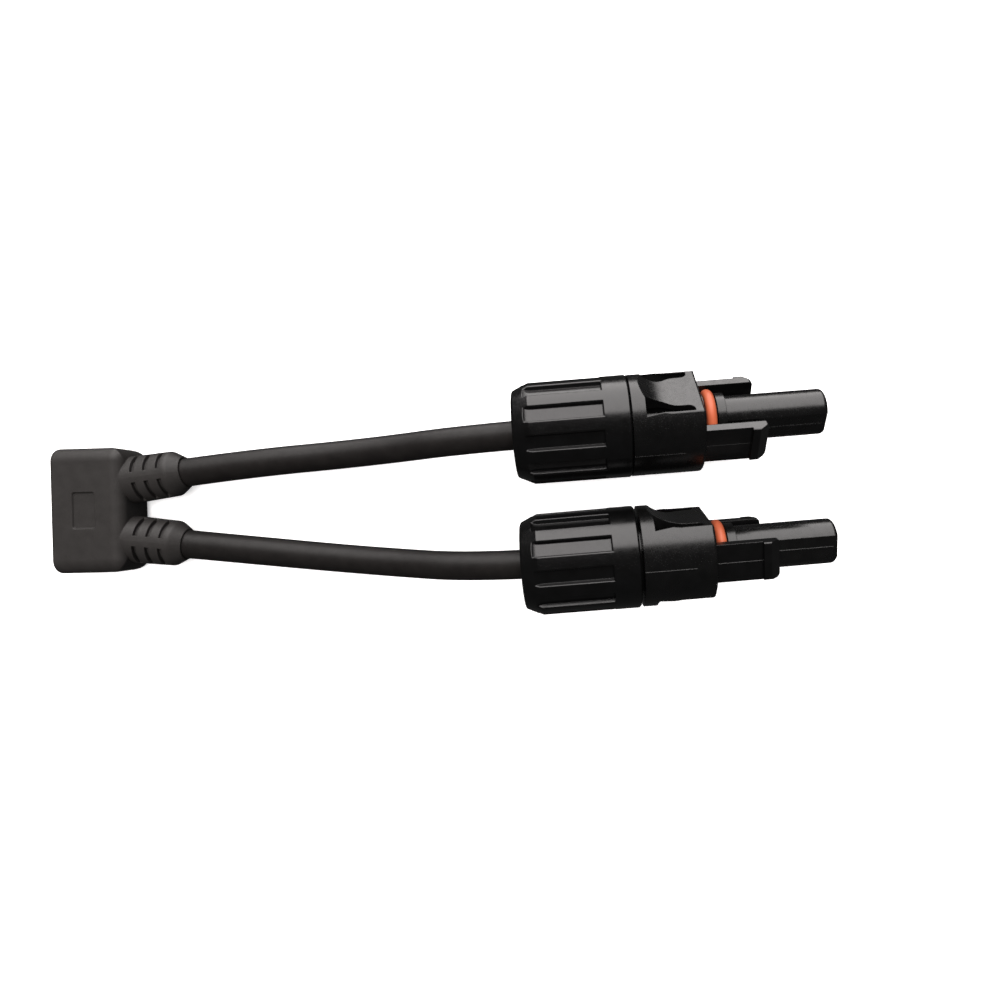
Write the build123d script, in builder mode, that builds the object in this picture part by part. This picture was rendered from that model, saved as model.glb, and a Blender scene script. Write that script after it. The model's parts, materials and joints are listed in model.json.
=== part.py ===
"""Two-into-one branch lead for solar panels: a moulded branch block, two single-core cables
and two socket connectors, each with a screwed cable gland and two latch arms.

Frame: +X from the branch block to the connectors, +Z up, millimetres. The origin is on the
surface that the lead lies on, under the middle of the assembly.
"""
import os
from math import cos, pi, radians, sin, tan

from build123d import *

os.makedirs("parts", exist_ok=True)

# Branch block. Its front face, where the cables come out, is at X = 0 until everything is
# moved by ORIGIN as it is written.
ORIGIN = Location((-59.6, -0.552, 0))
BLOCK_LENGTH = 13.3
BLOCK_WIDTH = 23.6
BLOCK_HEIGHT = 10.0
BLOCK_CORNER = 3.0
BLOCK_EDGE = 2.6
BLOCK_FRONT_EDGE = 2.0
BLOCK_REAR_EDGE = 0.8
BLOCK_MID = BLOCK_HEIGHT / 2
LABEL_LENGTH = 4.3
LABEL_WIDTH = 6.9
LABEL_X = -7.0
LABEL_DEPTH = 0.35
LABEL_DRAFT = 30
TRUNK_RADIUS = 3.0
TRUNK_DEPTH = 5.4

# Strain reliefs
RELIEF_Y = 5.75
RELIEF_SPLAY = 7.0
RELIEF_ROOT_RADIUS = 4.55
RELIEF_SHOULDER_RADIUS = 4.35
RELIEF_SHOULDER = 7.9
RELIEF_SHOULDER_EDGE = 1.2
RELIEF_TIP = 9.85
RELIEF_TIP_RADIUS = 3.05
GROOVE_FIRST = 1.85
GROOVE_PITCH = 2.4
GROOVE_WIDTH = 0.8
GROOVE_FLOOR_RADIUS = 3.7
GROOVE_ROWS = 3
GROOVE_RIB = 2.0

# Splice inside the block
CORE_LENGTH = 5.6
CORE_WIDTH = 16.0
CORE_HEIGHT = 6.4
CORE_FRONT = -2.2
FERRULE_LENGTH = 2.4
FERRULE_WIDTH = 13.2
FERRULE_HEIGHT = 3.2
FERRULE_FRONT = -5.0
FERRULE_BORE = 2.0

# Cables: sheath, core insulation and stranded conductor
CABLE_RADIUS = 2.75
INSULATION_RADIUS = 1.75
CONDUCTOR_RADIUS = 1.25
CABLE_BORE = 2.77
CABLE_START = -3.53

# Cap nut, measured along its own axis from its rear face
NUT_LENGTH = 21.2
NUT_RADIUS = 9.5
NUT_REAR_RADIUS = 8.0
NUT_CHAMFER = 3.15
NUT_BORE = 3.5
FLUTES = 11
FLUTE_START = 1.0
FLUTE_SCOOP = 3.8
FLUTE_END = 16.3
FLUTE_FLOOR_RADIUS = 8.55
FLUTE_FLOOR_WIDTH = 2.2
FLUTE_RIM_WIDTH = 3.5
FLUTE_EDGE = 0.3

# Thread between the cap nut and the housing
PITCH = 1.5
THREAD_START = 8.3
THREAD_TURNS = 7.5
SLEEVE_RADIUS = 6.6
SLEEVE_CREST = 7.3
NUT_THREAD_ROOT = 7.5
NUT_THREAD_CREST = 6.85
RIDGE_BASE = 0.95
RIDGE_TIP = 0.35

# Gland
SLEEVE_END = 8.0
SEAL_POCKET_RADIUS = 5.6
SEAL_START = 9.6
SEAL_LENGTH = 5.6
SEAL_RADIUS = 5.5
CAGE_BORE = 3.05
CAGE_SLOTS = 8

# Housing, from the same zero as the cap nut
SHELL_START = 21.35
SHELL_RADIUS = 9.4
SHELL_END = 34.2
SHELL_WALL_END = 23.2
CAVITY_RADIUS = 7.8
FLAT = 6.9
FLAT_WALL = 1.1
FLAT_RAMP = (23.0, 28.8)
SHELL_EDGE = 0.5
TUBE_RADIUS = 5.2
TUBE_END = 34.8
CONTACT_BORE = 3.05
COLLAR = (37.2, 38.8)
COLLAR_RADIUS = 4.85
PROBE_RADIUS = 4.2
PROBE_FLAT = 3.65
PROBE_END = 57.4
ENTRY_RADIUS = 2.3
ENTRY_DEPTH = 2.1
WINDOW_REAR = 23.8
WINDOW_FRONT = 32.5

# Fine ridges where the halves of the moulds met
PARTING_HEIGHT = 0.08
PARTING_WIDTH = 0.16

# O-ring
RING_CENTRE = 36.0
RING_RADIUS = 4.7
RING_SECTION = 0.95
RING_SEAT = RING_RADIUS - RING_SECTION - 0.02

# Latch arms
ARM_PIVOT = 30.5
ARM_OUTER = 7.9
ARM_INNER = 6.2
ARM_MID = (ARM_OUTER + ARM_INNER) / 2
ARM_WIDTH = 7.0
ARM_BARB = 42.4
ARM_BARB_RADIUS = 8.6
ARM_TIP = 45.6
ARM_CORNER = 0.7
ARM_EDGE = 0.35
ARM_CLEARANCE = 0.25
TRUNNION_RADIUS = 0.5
TRUNNION_SPAN = 8.6

# Contact
PIN_BORE = 2.05
SOCKET_RADIUS = 2.95
SOCKET = (27.0, 54.9)
SOCKET_BORE_DEPTH = 19.0
BARREL_RADIUS = 2.3
BARREL_START = 17.3
SPRING = (44.5, 49.5)
SPRING_RADIUS = 2.38
LOUVRES = 10
CLIP = (24.8, 26.8)
CLIP_RADIUS = 3.5
STRIP_JACKET = 14.5
STRIP_INSULATION = 17.0
CONDUCTOR_END = 25.5


def connector_plane(x, y, height, yaw, roll):
    """Axis along local Z towards the tip; local X points out through the upper latch arm."""
    axis = Vector(cos(radians(yaw)), sin(radians(yaw)), 0)
    side = Vector(sin(radians(yaw)), -cos(radians(yaw)), 0)
    arm = Vector(0, 0, cos(radians(roll))) + side * sin(radians(roll))
    return Plane(origin=(x, y, height), x_dir=arm, z_dir=axis)


# Each connector: its plane, how far its nut is unscrewed, the angle of one flute from the
# upper latch arm, and the route of its cable, from the splice to inside the gland.
CONNECTORS = {
    "a": {
        "plane": connector_plane(73.7, 11.9, NUT_RADIUS, 2.84, 43),
        "slack": 0.0,
        "flute": -25.8,
        "splay": RELIEF_SPLAY,
        "route": [(-3.5, 5.32, 5), (18.5, 8.02, 5), (44.5, 9.95, 3.2),
                  (66.71, 11.553, 9.5), (88.182, 12.618, 9.5)],
    },
    "b": {
        "plane": connector_plane(75.0, -12.541, NUT_RADIUS, 3.1, 15),
        "slack": 0.4,
        "flute": -2.6,
        "splay": -RELIEF_SPLAY,
        "route": [(-3.5, -5.32, 5), (18.5, -8.02, 5), (45, -11.35, 3.2),
                  (68.009, -12.919, 9.5), (89.478, -11.757, 9.5)],
    },
}


def write(part, name, plane=Plane.XY):
    """Put a finished piece where it belongs, label it and write it as one node."""
    placed = part.moved(ORIGIN * plane.location)
    placed.label = name
    export_step(placed, f"parts/{name}.step")


def relief_plane(connector):
    """Z along the strain relief's axis, from the block's front face."""
    splay = radians(connector["splay"])
    y = RELIEF_Y if splay > 0 else -RELIEF_Y
    return Plane(origin=(0, y, BLOCK_MID), x_dir=(0, 0, 1), z_dir=(cos(splay), sin(splay), 0))


def tube(outer, inner, start, end):
    """A plain ring along local Z."""
    with BuildPart() as ring:
        with BuildSketch(Plane.XY.offset(start)):
            Circle(outer)
            if inner:
                Circle(inner, mode=Mode.SUBTRACT)
        extrude(amount=end - start)
    return ring.part


def thread_ridge(base_radius, tip_radius, start, turns):
    """One helical ridge, trapezoidal, between the two radii."""
    with BuildPart() as ridge:
        with BuildLine() as path:
            Helix(PITCH, PITCH * turns, base_radius, center=(0, 0, start))
        with BuildSketch(Plane(origin=(base_radius, 0, start), x_dir=(1, 0, 0), z_dir=(0, 1, 0))):
            with BuildLine():
                Polyline((0, -RIDGE_BASE / 2), (tip_radius - base_radius, -RIDGE_TIP / 2),
                         (tip_radius - base_radius, RIDGE_TIP / 2), (0, RIDGE_BASE / 2), close=True)
            make_face()
        sweep(path=path.wires()[0], is_frenet=True)
    return ridge.part


# ---------------------------------------------------------------- branch block
def branch_moulding():
    """The block with its two strain reliefs, hollow for the splice and the three cables."""
    with BuildPart() as block:
        with BuildSketch(Plane.YZ.offset(-BLOCK_LENGTH)):
            with Locations((0, BLOCK_MID)):
                RectangleRounded(BLOCK_WIDTH, BLOCK_HEIGHT, BLOCK_EDGE)
        extrude(amount=BLOCK_LENGTH)
        fillet(block.edges().group_by(Axis.X)[-1], BLOCK_FRONT_EDGE)
        fillet(block.edges().group_by(Axis.X)[0], BLOCK_REAR_EDGE)
        with BuildSketch():
            with Locations((-BLOCK_LENGTH, 0)):
                RectangleRounded(2 * BLOCK_LENGTH, BLOCK_WIDTH, BLOCK_CORNER)
        extrude(amount=BLOCK_HEIGHT, mode=Mode.INTERSECT)
        with BuildSketch(Plane.XY.offset(BLOCK_HEIGHT)):
            with Locations((LABEL_X, 0)):
                RectangleRounded(LABEL_LENGTH, LABEL_WIDTH, 0.5)
        extrude(amount=-LABEL_DEPTH, taper=LABEL_DRAFT, mode=Mode.SUBTRACT)
        for connector in CONNECTORS.values():
            base = relief_plane(connector)
            with BuildSketch(base.offset(-2)):
                Circle(RELIEF_ROOT_RADIUS)
            with BuildSketch(base.offset(RELIEF_SHOULDER)):
                Circle(RELIEF_SHOULDER_RADIUS)
            loft()
            with BuildSketch(base.offset(RELIEF_SHOULDER)):
                Circle(RELIEF_SHOULDER_RADIUS)
            with BuildSketch(base.offset(RELIEF_TIP)):
                Circle(RELIEF_TIP_RADIUS)
            loft()
            shoulder = block.edges().filter_by(GeomType.CIRCLE).filter_by(
                lambda rim: abs(rim.radius - RELIEF_SHOULDER_RADIUS) < 0.01)
            fillet(shoulder.sort_by(Axis.X)[-1], RELIEF_SHOULDER_EDGE)
            for row in range(GROOVE_ROWS):
                groove = base.offset(GROOVE_FIRST + row * GROOVE_PITCH - GROOVE_WIDTH / 2)
                with BuildSketch(groove):
                    Circle(RELIEF_ROOT_RADIUS + 1)
                    Circle(GROOVE_FLOOR_RADIUS, mode=Mode.SUBTRACT)
                    Rectangle(4 * RELIEF_ROOT_RADIUS, GROOVE_RIB, mode=Mode.SUBTRACT)
                    Rectangle(GROOVE_RIB, 4 * RELIEF_ROOT_RADIUS, mode=Mode.SUBTRACT)
                extrude(amount=GROOVE_WIDTH, mode=Mode.SUBTRACT)
            with BuildSketch(base.offset(CABLE_START - 1)):
                Circle(CABLE_BORE)
            extrude(amount=RELIEF_TIP - CABLE_START + 2, mode=Mode.SUBTRACT)
        with BuildSketch(Plane.YZ.offset(-BLOCK_LENGTH)):
            with Locations((0, BLOCK_MID)):
                Circle(TRUNK_RADIUS)
        extrude(amount=TRUNK_DEPTH, mode=Mode.SUBTRACT)
        with Locations((CORE_FRONT - CORE_LENGTH / 2, 0, BLOCK_MID)):
            Box(CORE_LENGTH, CORE_WIDTH, CORE_HEIGHT, mode=Mode.SUBTRACT)
    return block.part


def splice_core():
    """Hard inner moulding that holds the splice; the block is moulded over it."""
    with BuildPart() as core:
        with Locations((CORE_FRONT - CORE_LENGTH / 2, 0, BLOCK_MID)):
            Box(CORE_LENGTH, CORE_WIDTH, CORE_HEIGHT)
        with Locations((FERRULE_FRONT - FERRULE_LENGTH / 2, 0, BLOCK_MID)):
            Box(FERRULE_LENGTH, FERRULE_WIDTH, FERRULE_HEIGHT, mode=Mode.SUBTRACT)
        for connector in CONNECTORS.values():
            with BuildSketch(relief_plane(connector).offset(CABLE_START - 0.05)):
                Circle(CABLE_RADIUS)
            extrude(amount=-CABLE_START, mode=Mode.SUBTRACT)
            with BuildSketch(relief_plane(connector).offset(FERRULE_FRONT - 0.4)):
                Circle(CONDUCTOR_RADIUS)
            extrude(amount=-FERRULE_FRONT, mode=Mode.SUBTRACT)
        with BuildSketch(Plane.YZ.offset(CORE_FRONT - CORE_LENGTH)):
            with Locations((0, BLOCK_MID)):
                Circle(CONDUCTOR_RADIUS + 0.6)
        extrude(amount=CORE_LENGTH + CORE_FRONT - FERRULE_FRONT - FERRULE_LENGTH + 0.5,
                mode=Mode.SUBTRACT)
    return core.part


def splice_ferrule():
    """Copper bar crimped round the two branch conductors, with a hole for the trunk's."""
    with BuildPart() as ferrule:
        with Locations((FERRULE_FRONT - FERRULE_LENGTH / 2, 0, BLOCK_MID)):
            Box(FERRULE_LENGTH, FERRULE_WIDTH, FERRULE_HEIGHT)
        fillet(ferrule.edges().filter_by(Axis.X), 0.6)
        for connector in CONNECTORS.values():
            with BuildSketch(relief_plane(connector).offset(FERRULE_FRONT - FERRULE_BORE)):
                Circle(CONDUCTOR_RADIUS)
            extrude(amount=FERRULE_BORE + 0.4, mode=Mode.SUBTRACT)
        with BuildSketch(Plane.YZ.offset(FERRULE_FRONT - FERRULE_LENGTH)):
            with Locations((0, BLOCK_MID)):
                Circle(CONDUCTOR_RADIUS)
        extrude(amount=FERRULE_BORE, mode=Mode.SUBTRACT)
    return ferrule.part


def splice_tail(connector):
    """The bared conductor between a cable's end and the ferrule."""
    with BuildPart() as tail:
        with BuildSketch(relief_plane(connector).offset(FERRULE_FRONT - FERRULE_BORE)):
            Circle(CONDUCTOR_RADIUS)
        extrude(amount=CABLE_START - FERRULE_FRONT + FERRULE_BORE)
    return tail.part


# ---------------------------------------------------------------- cables
def cable(route):
    """Sheathed cable along straight runs joined by the largest arcs that they allow."""
    points = [Vector(*point) for point in route]
    runs = [after - before for before, after in zip(points, points[1:])]
    radii = []
    for before, after in zip(runs, runs[1:]):
        half_turn = radians(before.get_angle(after)) / 2
        radii.append(0.45 * min(before.length, after.length) / tan(half_turn))
    print("cable radii", [round(radius) for radius in radii])
    with BuildPart() as sheath:
        with BuildLine() as path:
            FilletPolyline(*points, radius=radii)
        with BuildSketch(Plane(origin=points[0], z_dir=runs[0])):
            Circle(CABLE_RADIUS)
        sweep(path=path.wires()[0])
    length = path.wires()[0].length
    section = pi * CABLE_RADIUS ** 2
    print("cable length", round(length, 2), "volume ratio", sheath.part.volume / section / length)
    return sheath.part


# ---------------------------------------------------------------- connector
def flute():
    """What one flute takes out of the nut: flared sides, and a scooped run-out behind."""
    half_floor = FLUTE_FLOOR_WIDTH / 2
    half_rim = FLUTE_RIM_WIDTH / 2
    outside = NUT_RADIUS + 0.6
    with BuildPart() as cutter:
        with BuildSketch():
            with BuildLine():
                Polyline((FLUTE_FLOOR_RADIUS, -half_floor), (outside, -half_rim),
                         (outside, half_rim), (FLUTE_FLOOR_RADIUS, half_floor), close=True)
            make_face()
        extrude(amount=FLUTE_END)
        with BuildSketch(Plane.XZ):
            with BuildLine():
                Polyline((FLUTE_FLOOR_RADIUS, FLUTE_SCOOP), (FLUTE_FLOOR_RADIUS, FLUTE_END),
                         (outside, FLUTE_END), (outside, FLUTE_START))
                TangentArc((FLUTE_FLOOR_RADIUS, FLUTE_SCOOP), (outside, FLUTE_START),
                           tangent=(0, -1))
            make_face()
        extrude(amount=FLUTE_RIM_WIDTH, both=True, mode=Mode.INTERSECT)
    return cutter.part


def on_flute_rim(edge):
    """Whether an edge lies round a flute, in the nut's outer surface."""
    middle = edge.center()
    outside = Vector(middle.X, middle.Y, 0).length > NUT_RADIUS - 0.35
    return outside and FLUTE_START < middle.Z < FLUTE_END + 0.3


def cap_nut(slack, flute_angle):
    """Fluted gland nut; the thread stays where the housing's thread needs it."""
    cutter = flute()
    with BuildPart() as nut:
        with BuildSketch(Plane.XZ):
            with BuildLine():
                Polyline((NUT_BORE, 0), (NUT_REAR_RADIUS, 0), (NUT_RADIUS - 0.05, NUT_CHAMFER),
                         (NUT_RADIUS, NUT_LENGTH - 0.3), (NUT_RADIUS - 0.3, NUT_LENGTH),
                         (NUT_THREAD_ROOT, NUT_LENGTH), (NUT_THREAD_ROOT, 7.6), (6.9, 7.0),
                         (4.4, 2.6), (NUT_BORE, 2.6), close=True)
            make_face()
        revolve(axis=Axis.Z)
        rear_rims = nut.edges().filter_by(GeomType.CIRCLE).group_by(Axis.Z)[0]
        fillet(rear_rims.sort_by(SortBy.RADIUS)[-1], 0.7)
        with PolarLocations(0, FLUTES, flute_angle):
            add(cutter, mode=Mode.SUBTRACT)
        fillet(nut.edges().filter_by(on_flute_rim), FLUTE_EDGE)
        add(thread_ridge(NUT_THREAD_ROOT + 0.1, NUT_THREAD_CREST, THREAD_START + slack + PITCH / 2,
                         THREAD_TURNS))
    return nut.part.moved(Location((0, 0, -slack)))


def clamp_cage():
    """Collar with fingers that the nut's cone squeezes round the cable."""
    with BuildPart() as cage:
        with BuildSketch(Plane.XZ):
            with BuildLine():
                Polyline((CAGE_BORE, 3.0), (3.9, 3.0), (6.2, 6.7), (6.4, 6.9), (6.4, 7.6),
                         (5.45, 7.6), (5.45, 9.3), (CAGE_BORE, 9.3), close=True)
            make_face()
        revolve(axis=Axis.Z)
        with BuildSketch(Plane.XY.offset(2.5)):
            for index in range(CAGE_SLOTS // 2):
                Rectangle(16, 0.7, rotation=index * 360 / CAGE_SLOTS)
        extrude(amount=3.6, mode=Mode.SUBTRACT)
    return cage.part


def gland_seal():
    """Rubber sleeve between the cable's sheath and the housing, ribbed outside."""
    with BuildPart() as seal:
        with BuildSketch(Plane.XY.offset(SEAL_START)):
            Circle(SEAL_RADIUS)
            Circle(CABLE_RADIUS, mode=Mode.SUBTRACT)
        extrude(amount=SEAL_LENGTH)
        for index in range(3):
            with BuildSketch(Plane.XY.offset(SEAL_START + 0.7 + 1.6 * index)):
                Circle(SEAL_RADIUS)
                Circle(SEAL_RADIUS - 0.5, mode=Mode.SUBTRACT)
            extrude(amount=0.9, mode=Mode.SUBTRACT)
    return seal.part


def window_outline():
    """Outline of one window: wide behind, narrowing by an S-bend to a slot with a round end."""
    with BuildSketch(Plane.XZ) as window:
        with BuildLine():
            Polyline((3.1, 26.0), (3.2, WINDOW_REAR), (6.6, WINDOW_REAR), (6.1, 28.0),
                     (6.05, WINDOW_FRONT), (5.6, WINDOW_FRONT))
            ThreePointArc((5.6, WINDOW_FRONT), (4.75, WINDOW_FRONT - 0.35), (4.4, WINDOW_FRONT - 1.2))
            Line((4.4, WINDOW_FRONT - 1.2), (4.4, 30.0))
            Spline((4.4, 30.0), (3.1, 26.0), tangents=[(0, -1), (0, -1)])
        make_face()
    return window.sketch


def on_shell_corner(edge):
    """Whether an edge is one of the shell's outer corners, round its flats or its front."""
    middle = edge.center()
    seam = abs(middle.X) > SHELL_RADIUS - 0.1
    tangent = abs(middle.Z - FLAT_RAMP[1]) < 0.1
    return middle.Z > FLAT_RAMP[0] + 0.5 and not seam and not tangent


def housing():
    """Thread sleeve, outer shell with two flats and four windows, and the probe tube."""
    window = window_outline()
    windows = [window, mirror(window, Plane.YZ)]
    with BuildPart() as body:
        with BuildSketch(Plane.XZ):
            with BuildLine():
                Polyline((0, SLEEVE_END), (SLEEVE_RADIUS, SLEEVE_END), (SLEEVE_RADIUS, SHELL_START),
                         (SHELL_RADIUS, SHELL_START), (SHELL_RADIUS, SHELL_END), (0, SHELL_END),
                         close=True)
            make_face()
        revolve(axis=Axis.Z)
        for turn in (0, 180):
            with BuildSketch(Plane.YZ.rotated((0, 0, turn))):
                with BuildLine():
                    TangentArc((FLAT, FLAT_RAMP[1]), (SHELL_RADIUS, FLAT_RAMP[0]), tangent=(0, -1))
                    Polyline((SHELL_RADIUS, FLAT_RAMP[0]), (SHELL_RADIUS + 2, FLAT_RAMP[0]),
                             (SHELL_RADIUS + 2, SHELL_END + 1), (FLAT, SHELL_END + 1),
                             (FLAT, FLAT_RAMP[1]))
                make_face()
            extrude(amount=SHELL_RADIUS + 1, both=True, mode=Mode.SUBTRACT)
        fillet(body.edges().filter_by(on_shell_corner), SHELL_EDGE)
        with BuildSketch(Plane.XY.offset(SHELL_WALL_END)):
            Circle(CAVITY_RADIUS)
            Rectangle(3 * CAVITY_RADIUS, 2 * (FLAT - FLAT_WALL), mode=Mode.INTERSECT)
        extrude(amount=SHELL_END - SHELL_WALL_END + 1, mode=Mode.SUBTRACT)
        channel = 2 * (ARM_OUTER + ARM_CLEARANCE)
        with BuildSketch(Plane.XY.offset(ARM_PIVOT - 1.5)):
            Rectangle(channel, ARM_WIDTH + 2 * ARM_CLEARANCE)
            Rectangle(2 * (ARM_INNER - ARM_CLEARANCE), 2 * ARM_WIDTH, mode=Mode.SUBTRACT)
        extrude(amount=SHELL_END, mode=Mode.SUBTRACT)
        with Locations(*[Location((side * ARM_MID, 0, ARM_PIVOT), (90, 0, 0)) for side in (-1, 1)]):
            Cylinder(TRUNNION_RADIUS + 0.1, TRUNNION_SPAN + 0.3, mode=Mode.SUBTRACT)
        for outline in windows:
            extrude(outline, amount=SHELL_RADIUS + 1, both=True, mode=Mode.SUBTRACT)
        with BuildSketch(Plane.XZ):
            with BuildLine():
                Polyline((0, SHELL_WALL_END - 0.5), (TUBE_RADIUS, SHELL_WALL_END - 0.5),
                         (TUBE_RADIUS, TUBE_END), (RING_SEAT, TUBE_END), (RING_SEAT, COLLAR[0]),
                         (COLLAR_RADIUS, COLLAR[0]), (COLLAR_RADIUS, COLLAR[1]), (0, COLLAR[1]),
                         close=True)
            make_face()
        revolve(axis=Axis.Z)
        with BuildSketch(Plane.XY.offset(COLLAR[1])):
            Circle(PROBE_RADIUS)
            Rectangle(2 * PROBE_FLAT, 3 * PROBE_RADIUS, mode=Mode.INTERSECT)
        extrude(amount=PROBE_END - COLLAR[1])
        fillet(body.edges().group_by(Axis.Z)[-1], 0.8)
        with BuildSketch(Plane.XZ):
            with BuildLine():
                Polyline((0, SLEEVE_END - 1), (SEAL_POCKET_RADIUS, SLEEVE_END - 1),
                         (SEAL_POCKET_RADIUS, SEAL_START + SEAL_LENGTH + 0.4),
                         (CONTACT_BORE, SEAL_START + SEAL_LENGTH + 0.4),
                         (CONTACT_BORE, CLIP[0] - 0.2), (CLIP_RADIUS + 0.1, CLIP[0] - 0.2),
                         (CLIP_RADIUS + 0.1, CLIP[1] + 0.1), (CONTACT_BORE, CLIP[1] + 0.1),
                         (CONTACT_BORE, PROBE_END - ENTRY_DEPTH),
                         (ENTRY_RADIUS, PROBE_END - ENTRY_DEPTH),
                         (ENTRY_RADIUS, PROBE_END - 0.4), (ENTRY_RADIUS + 0.4, PROBE_END + 0.01),
                         (0, PROBE_END + 0.01), close=True)
            make_face()
        revolve(axis=Axis.Z, mode=Mode.SUBTRACT)
        add(thread_ridge(SLEEVE_RADIUS - 0.1, SLEEVE_CREST, THREAD_START, THREAD_TURNS))
        with PolarLocations(0, 2):
            add(parting_line(SHELL_RADIUS, SHELL_START, ARM_PIVOT))
            add(parting_line(PROBE_FLAT, COLLAR[1], PROBE_END - 1))
    return body.part


def o_ring():
    """Face seal between the two halves of a mated pair."""
    with BuildPart() as ring:
        with BuildSketch(Plane.XZ):
            with Locations((RING_RADIUS, RING_CENTRE)):
                Circle(RING_SECTION)
        revolve(axis=Axis.Z)
    return ring.part


def parting_line(radius, start, end):
    """The fine ridge that the mould's joint leaves along a face at this radius."""
    with BuildPart() as ridge:
        with Locations((radius, 0, (start + end) / 2)):
            Box(2 * PARTING_HEIGHT, PARTING_WIDTH, end - start)
    return ridge.part


def latch_arm(turn):
    """Snap arm with a round root, a barb and a ramped tip, on two short trunnions."""
    thick = ARM_OUTER - ARM_INNER
    with BuildPart() as arm:
        with BuildSketch(Plane.XZ):
            with BuildLine():
                Polyline((ARM_OUTER, ARM_PIVOT), (ARM_OUTER, ARM_BARB), (ARM_BARB_RADIUS, ARM_BARB),
                         (ARM_BARB_RADIUS, ARM_BARB + 1.3), (ARM_INNER + 0.7, ARM_TIP),
                         (ARM_INNER, ARM_TIP), (ARM_INNER, ARM_PIVOT))
                ThreePointArc((ARM_INNER, ARM_PIVOT), (ARM_MID, ARM_PIVOT - thick / 2),
                              (ARM_OUTER, ARM_PIVOT))
            make_face()
        extrude(amount=ARM_WIDTH / 2, both=True)
        fillet(arm.edges().filter_by(Axis.X).group_by(Axis.Z)[-1], ARM_CORNER)
        fillet(arm.edges().filter_by(Axis.Z).group_by(Axis.X)[-1], ARM_EDGE)
        add(parting_line(ARM_OUTER, ARM_PIVOT, ARM_BARB))
        with Locations(Location((ARM_MID, 0, ARM_PIVOT), (90, 0, 0))):
            Cylinder(TRUNNION_RADIUS, TRUNNION_SPAN)
    return arm.part.rotate(Axis.Z, turn)


def contact_socket():
    """Tinned socket with a louvre groove in front and a crimp barrel behind."""
    with BuildPart() as socket:
        with BuildSketch(Plane.XZ):
            with BuildLine():
                Polyline((CONDUCTOR_RADIUS, BARREL_START), (BARREL_RADIUS, BARREL_START),
                         (BARREL_RADIUS, SOCKET[0]), (SOCKET_RADIUS, SOCKET[0]),
                         (SOCKET_RADIUS, SOCKET[1] - 0.3), (SOCKET_RADIUS - 0.3, SOCKET[1]),
                         (PIN_BORE, SOCKET[1]), (PIN_BORE, SPRING[1]), (SPRING_RADIUS + 0.02, SPRING[1]),
                         (SPRING_RADIUS + 0.02, SPRING[0]), (PIN_BORE, SPRING[0]),
                         (PIN_BORE, SOCKET[1] - SOCKET_BORE_DEPTH), (0, SOCKET[1] - SOCKET_BORE_DEPTH),
                         (0, CONDUCTOR_END), (CONDUCTOR_RADIUS, CONDUCTOR_END), close=True)
            make_face()
        revolve(axis=Axis.Z)
    return socket.part


def contact_spring():
    """Louvred band that presses on the mating pin."""
    with BuildPart() as band:
        add(tube(SPRING_RADIUS, PIN_BORE + 0.03, SPRING[0] + 0.1, SPRING[1] - 0.1))
        height = SPRING[1] - SPRING[0] - 1.6
        with PolarLocations(SPRING_RADIUS, LOUVRES):
            with Locations((0, 0, (SPRING[0] + SPRING[1]) / 2)):
                Box(1.2, 0.35, height, mode=Mode.SUBTRACT)
    return band.part


def retaining_clip():
    """Split ring that keeps the contact from being pushed back out of the housing."""
    with BuildPart() as clip:
        add(tube(CLIP_RADIUS, BARREL_RADIUS + 0.05, CLIP[0], CLIP[1]))
        with Locations((CLIP_RADIUS, 0, (CLIP[0] + CLIP[1]) / 2)):
            Box(2 * CLIP_RADIUS, 0.8, CLIP[1] - CLIP[0], mode=Mode.SUBTRACT)
    return clip.part


if __name__ == "__main__":
    write(branch_moulding(), "branch_moulding")
    write(splice_core(), "splice_core")
    write(splice_ferrule(), "splice_ferrule")
    for side, connector in CONNECTORS.items():
        plane = connector["plane"]
        write(splice_tail(connector), f"splice_tail_{side}")
        write(cable(connector["route"]), f"cable_{side}")
        write(cap_nut(connector["slack"], connector["flute"]), f"cap_nut_{side}", plane)
        write(clamp_cage().moved(Location((0, 0, -connector["slack"]))), f"clamp_cage_{side}", plane)
        write(gland_seal(), f"gland_seal_{side}", plane)
        write(housing(), f"housing_{side}", plane)
        write(o_ring(), f"o_ring_{side}", plane)
        write(latch_arm(0), f"latch_arm_upper_{side}", plane)
        write(latch_arm(180), f"latch_arm_lower_{side}", plane)
        write(tube(INSULATION_RADIUS, CONDUCTOR_RADIUS, STRIP_JACKET, STRIP_INSULATION),
              f"core_insulation_{side}", plane)
        write(tube(CONDUCTOR_RADIUS, 0, STRIP_JACKET, CONDUCTOR_END), f"conductor_{side}", plane)
        write(contact_socket(), f"contact_socket_{side}", plane)
        write(contact_spring(), f"contact_spring_{side}", plane)
        write(retaining_clip(), f"retaining_clip_{side}", plane)
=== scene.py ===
"""Looks for the solar branch lead: moulded block, two cables and two socket connectors."""

import json
from math import radians

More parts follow.
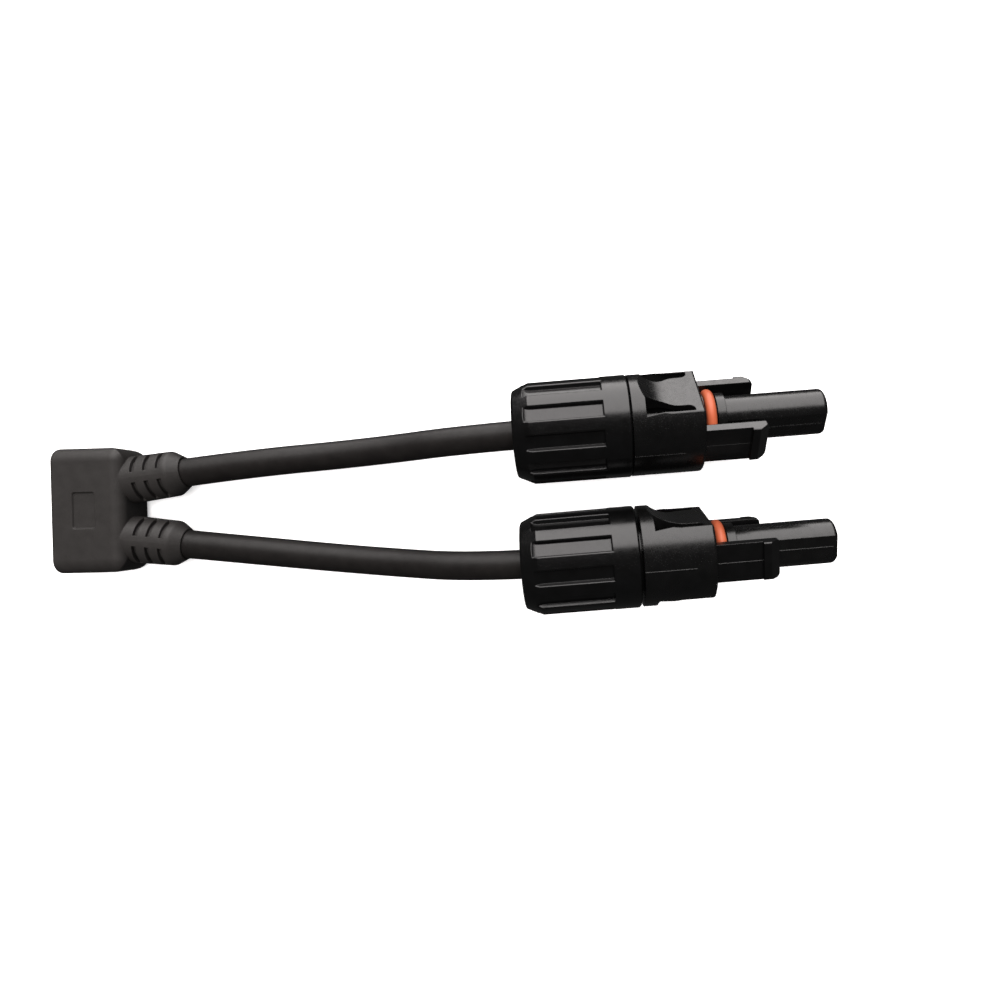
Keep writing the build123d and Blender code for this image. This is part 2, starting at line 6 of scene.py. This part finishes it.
import bpy
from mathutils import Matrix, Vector


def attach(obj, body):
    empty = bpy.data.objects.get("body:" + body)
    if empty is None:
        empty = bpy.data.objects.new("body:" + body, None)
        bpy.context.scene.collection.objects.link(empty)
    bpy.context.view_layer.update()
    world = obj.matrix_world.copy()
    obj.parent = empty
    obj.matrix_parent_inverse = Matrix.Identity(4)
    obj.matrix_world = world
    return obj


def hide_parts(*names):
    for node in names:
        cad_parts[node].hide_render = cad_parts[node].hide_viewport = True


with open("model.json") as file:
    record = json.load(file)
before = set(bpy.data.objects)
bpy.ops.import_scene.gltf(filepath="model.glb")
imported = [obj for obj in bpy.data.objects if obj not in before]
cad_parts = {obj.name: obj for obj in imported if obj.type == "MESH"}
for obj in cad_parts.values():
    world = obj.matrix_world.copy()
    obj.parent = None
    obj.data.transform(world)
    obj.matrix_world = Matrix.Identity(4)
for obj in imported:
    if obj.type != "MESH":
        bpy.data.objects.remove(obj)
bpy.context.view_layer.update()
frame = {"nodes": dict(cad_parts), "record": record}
MM = 0.001


# ------------------------------------------------------------------ camera
CAMERA_PLACE = (24.0, -2.982, 145)
CAMERA_TURN = -1.6
LENS = 26.1
SENSOR_WIDTH = 36
SHIFT = (-0.07, 0.01)
CLIP = (0.005, 20)


def make_camera():
    """Straight down over the middle of the cables, turned a little, as a close wide view."""
    data = bpy.data.cameras.new("camera")
    data.lens = LENS
    data.sensor_width = SENSOR_WIDTH
    data.shift_x, data.shift_y = SHIFT
    data.clip_start, data.clip_end = CLIP
    camera = bpy.data.objects.new("camera", data)
    camera.location = tuple(part * MM for part in CAMERA_PLACE)
    camera.rotation_euler = (0, 0, radians(CAMERA_TURN))
    bpy.context.collection.objects.link(camera)
    bpy.context.scene.camera = camera


make_camera()


# ------------------------------------------------------------------ cables
# Routes are in millimetres, from the middle of the block's front face.
CABLE_RADIUS = 2.75 * MM
BLOCK_FRONT = (-59.6, -0.552)
ROUTES = {
    "a": [(-3.5, 5.32, 5), (18.5, 8.02, 5), (44.5, 9.95, 3.2), (66.71, 11.553, 9.5),
          (88.182, 12.618, 9.5)],
    "b": [(-3.5, -5.32, 5), (18.5, -8.02, 5), (45, -11.35, 3.2), (68.009, -12.919, 9.5),
          (89.478, -11.757, 9.5)],
}
ROUND_STEPS = 10
LENGTH_STEPS = 24
QUADRATIC = 3


def placed(point):
    """A point measured from the block's front face, in the object's frame."""
    x, y, z = point
    return Vector((x + BLOCK_FRONT[0], y + BLOCK_FRONT[1], z)) * MM


def make_cable(side):
    """One smooth cable along its route. Each control's radius scales a bevel one metre deep."""
    curve = bpy.data.curves.new(f"cable_sheath_{side}", "CURVE")
    curve.dimensions = "3D"
    curve.bevel_depth = 1
    curve.bevel_resolution = ROUND_STEPS
    curve.resolution_u = LENGTH_STEPS
    spline = curve.splines.new("NURBS")
    route = ROUTES[side]
    spline.points.add(len(route) - 1)
    for control, point in zip(spline.points, route):
        control.co = (*placed(point), 1)
        control.radius = CABLE_RADIUS
    spline.order_u = QUADRATIC
    spline.use_endpoint_u = True
    cable = bpy.data.objects.new(f"cable_sheath_{side}", curve)
    bpy.context.collection.objects.link(cable)
    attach(cable, "lead")
    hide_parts(f"cable_{side}")
    return cable


cables = {side: make_cable(side) for side in ROUTES}


# ------------------------------------------------------------------ materials
# The Mix node's colour sockets.
MIX_FACTOR, MIX_FIRST, MIX_SECOND, MIX_RESULT = 0, 6, 7, 2

# Noise scales, in waves per metre.
SHADE_SCALE = 420
GLOSS_SCALE = 900
WAVE_SCALE = 260
METAL_SHADE_SCALE = 700
METAL_GLOSS_SCALE = 2400
METAL_GRAIN_SCALE = 3500

EDGE_RADIUS = 0.00018
EDGE_SAMPLES = 6
GRAIN_STRENGTH = 0.5
WAVE_STRENGTH = 0.35
WAVE_DEPTH = 2.2
METAL_GRAIN_STRENGTH = 0.3
METAL_GRAIN_DEPTH = 0.00001
METAL_DULL = 0.75
METAL_UNEVEN = 0.3

PLASTICS = {
    "soft_pvc": dict(
        dark=(0.0155, 0.0144, 0.0138), light=(0.0196, 0.0183, 0.0176),
        rough=(0.46, 0.56), grain=5200, depth=0.00003, specular=0.31),
    "cable_sheath": dict(
        dark=(0.0060, 0.0053, 0.0051), light=(0.0086, 0.0077, 0.0073),
        rough=(0.43, 0.51), grain=5200, depth=0.00001, specular=0.24),
    "black_plastic": dict(
        dark=(0.0012, 0.0012, 0.0012), light=(0.0020, 0.0020, 0.0021),
        rough=(0.19, 0.27), grain=4200, depth=0.000003, specular=0.5),
    "probe_plastic": dict(
        dark=(0.0014, 0.0014, 0.0014), light=(0.0024, 0.0024, 0.0024),
        rough=(0.22, 0.30), grain=4600, depth=0.000003, specular=0.5),
    "silicone_orange": dict(
        dark=(0.30, 0.064, 0.026), light=(0.35, 0.078, 0.034),
        rough=(0.42, 0.52), grain=3000, depth=0.00001, specular=0.4),
    "seal_rubber": dict(
        dark=(0.02, 0.02, 0.02), light=(0.03, 0.03, 0.03),
        rough=(0.55, 0.7), grain=4000, depth=0.00002, specular=0.5),
    "core_insulation": dict(
        dark=(0.7, 0.7, 0.66), light=(0.8, 0.8, 0.76),
        rough=(0.4, 0.5), grain=3000, depth=0.00001, specular=0.5),
}
METALS = {
    "copper": dict(colour=(0.80, 0.42, 0.25), rough=0.3),
    "tinned_copper": dict(colour=(0.78, 0.77, 0.74), rough=0.25),
    "spring_steel": dict(colour=(0.70, 0.70, 0.72), rough=0.22),
}


class Nodes:
    """A material's node tree, with a short way to add and join nodes."""

    def __init__(self, name):
        self.material = bpy.data.materials.new(name)
        self.material.use_nodes = True
        self.tree = self.material.node_tree
        self.shader = self.tree.nodes["Principled BSDF"]
        self.place = self.add("ShaderNodeTexCoord").outputs["Object"]

    def add(self, kind, **values):
        node = self.tree.nodes.new(kind)
        for key, value in values.items():
            setattr(node, key, value)
        return node

    def join(self, source, target):
        self.tree.links.new(source, target)

    def set(self, **values):
        """Joins a source to each named input of the shader, or gives the input a value."""
        for key, value in values.items():
            target = self.shader.inputs[key.replace("_", " ")]
            if isinstance(value, bpy.types.NodeSocket):
                self.join(value, target)
            else:
                target.default_value = value

    def noise(self, scale, detail=4.0, rough=0.55):
        node = self.add("ShaderNodeTexNoise")
        node.inputs["Scale"].default_value = scale
        node.inputs["Detail"].default_value = detail
        node.inputs["Roughness"].default_value = rough
        self.join(self.place, node.inputs["Vector"])
        return node.outputs["Fac"]

    def spread(self, source, low, high, start=0.3, end=0.7):
        """The source's middle range, from start to end, stretched to go from low to high."""
        node = self.add("ShaderNodeMapRange")
        ranges = {"From Min": start, "From Max": end, "To Min": low, "To Max": high}
        for name, value in ranges.items():
            node.inputs[name].default_value = value
        self.join(source, node.inputs["Value"])
        return node.outputs["Result"]

    def mix(self, factor, first, second):
        node = self.add("ShaderNodeMix", data_type="RGBA")
        node.inputs[MIX_FIRST].default_value = (*first, 1)
        node.inputs[MIX_SECOND].default_value = (*second, 1)
        self.join(factor, node.inputs[MIX_FACTOR])
        return node.outputs[MIX_RESULT]

    def bump(self, height, strength, distance, normal=None):
        node = self.add("ShaderNodeBump")
        node.inputs["Strength"].default_value = strength
        node.inputs["Distance"].default_value = distance
        self.join(height, node.inputs["Height"])
        if normal:
            self.join(normal, node.inputs["Normal"])
        return node.outputs["Normal"]

    def rounded(self):
        """Normals that soften each sharp edge, as a moulded edge does."""
        node = self.add("ShaderNodeBevel", samples=EDGE_SAMPLES)
        node.inputs["Radius"].default_value = EDGE_RADIUS
        return node.outputs["Normal"]


def plastic(name, dark, light, rough, grain, depth, specular):
    """Moulded plastic or rubber: two close shades, uneven gloss and a fine grain."""
    nodes = Nodes(name)
    fine = nodes.bump(nodes.noise(grain, detail=2), GRAIN_STRENGTH, depth, nodes.rounded())
    wavy = nodes.bump(nodes.noise(WAVE_SCALE, detail=2), WAVE_STRENGTH, depth * WAVE_DEPTH, fine)
    nodes.set(Base_Color=nodes.mix(nodes.spread(nodes.noise(SHADE_SCALE), 0, 1), dark, light),
              Roughness=nodes.spread(nodes.noise(GLOSS_SCALE, detail=6), *rough),
              Normal=wavy,
              Specular_IOR_Level=specular)
    return nodes.material


def metal(name, colour, rough):
    """Bare metal: a little duller in places, with uneven gloss and a fine grain."""
    nodes = Nodes(name)
    dull = tuple(part * METAL_DULL for part in colour)
    shade = nodes.spread(nodes.noise(METAL_SHADE_SCALE), 0, 1)
    gloss = nodes.noise(METAL_GLOSS_SCALE, detail=6)
    grain = nodes.noise(METAL_GRAIN_SCALE, detail=3)
    nodes.set(Base_Color=nodes.mix(shade, dull, colour),
              Roughness=nodes.spread(gloss, rough * (1 - METAL_UNEVEN), rough * (1 + METAL_UNEVEN)),
              Normal=nodes.bump(grain, METAL_GRAIN_STRENGTH, METAL_GRAIN_DEPTH),
              Metallic=1)
    return nodes.material


MATERIALS = {name: plastic(name, **look) for name, look in PLASTICS.items()}
MATERIALS.update((name, metal(name, **look)) for name, look in METALS.items())

for entry in frame["record"]["subparts"]:
    node = frame["nodes"][entry["node"]]
    node.data.materials.clear()
    node.data.materials.append(MATERIALS[entry["material_slot"]])
for cable in cables.values():
    cable.data.materials.append(MATERIALS["cable_sheath"])


# ------------------------------------------------------------------ stage and light
FLOOR_SIZE = 4
FLOOR_GAP = 0.00005
FLOOR_GLOW = 0.5
FLOOR_SCALE = 3
FLOOR_SHADES = ((0.86, 0.86, 0.86), (0.88, 0.88, 0.88))
ROOM_LIGHT = 0.05
ROOM_SEEN = 0.95
LAMP_COLOUR = (1.0, 0.965, 0.955)
LAMPS = {
    "key": dict(place=(0.0, 0.50, 0.22), size=(0.75, 0.96), power=10.5, glossy=True),
    "overhead": dict(place=(0.0, 0.05, 0.9), size=(0.6, 0.6), power=13, glossy=False),
}


def make_stage():
    """White paper that glows a little and throws nothing back on the object."""
    bpy.ops.mesh.primitive_plane_add(size=FLOOR_SIZE, location=(0, 0, -FLOOR_GAP))
    floor = bpy.context.object
    floor.name = "floor"
    nodes = Nodes("floor_paper")
    nodes.set(Base_Color=nodes.mix(nodes.noise(FLOOR_SCALE), *FLOOR_SHADES),
              Roughness=0.9,
              Emission_Color=(1, 1, 1, 1),
              Emission_Strength=FLOOR_GLOW)
    floor.data.materials.append(nodes.material)
    floor.visible_glossy = False
    floor.visible_diffuse = False


def area_light(name, place, size, power, glossy):
    """A rectangular lamp that faces the object."""
    data = bpy.data.lights.new(name, "AREA")
    data.shape = "RECTANGLE"
    data.size, data.size_y = size
    data.energy = power
    data.color = LAMP_COLOUR
    light = bpy.data.objects.new(name, data)
    light.location = place
    light.rotation_mode = "QUATERNION"
    light.rotation_quaternion = (-Vector(place)).to_track_quat("-Z", "Y")
    light.visible_glossy = glossy
    bpy.context.collection.objects.link(light)


def make_world():
    """A dim white room that looks pale behind the floor's edge."""
    world = bpy.data.worlds.new("studio")
    world.use_nodes = True
    tree = world.node_tree
    background = tree.nodes["Background"]
    background.inputs["Color"].default_value = (1, 1, 1, 1)
    path = tree.nodes.new("ShaderNodeLightPath")
    strength = tree.nodes.new("ShaderNodeMapRange")
    strength.inputs["To Min"].default_value = ROOM_LIGHT
    strength.inputs["To Max"].default_value = ROOM_SEEN
    tree.links.new(path.outputs["Is Camera Ray"], strength.inputs["Value"])
    tree.links.new(strength.outputs["Result"], background.inputs["Strength"])
    bpy.context.scene.world = world


make_stage()
for lamp, values in LAMPS.items():
    area_light(lamp, **values)
make_world()
bpy.context.scene.view_settings.view_transform = "Standard"
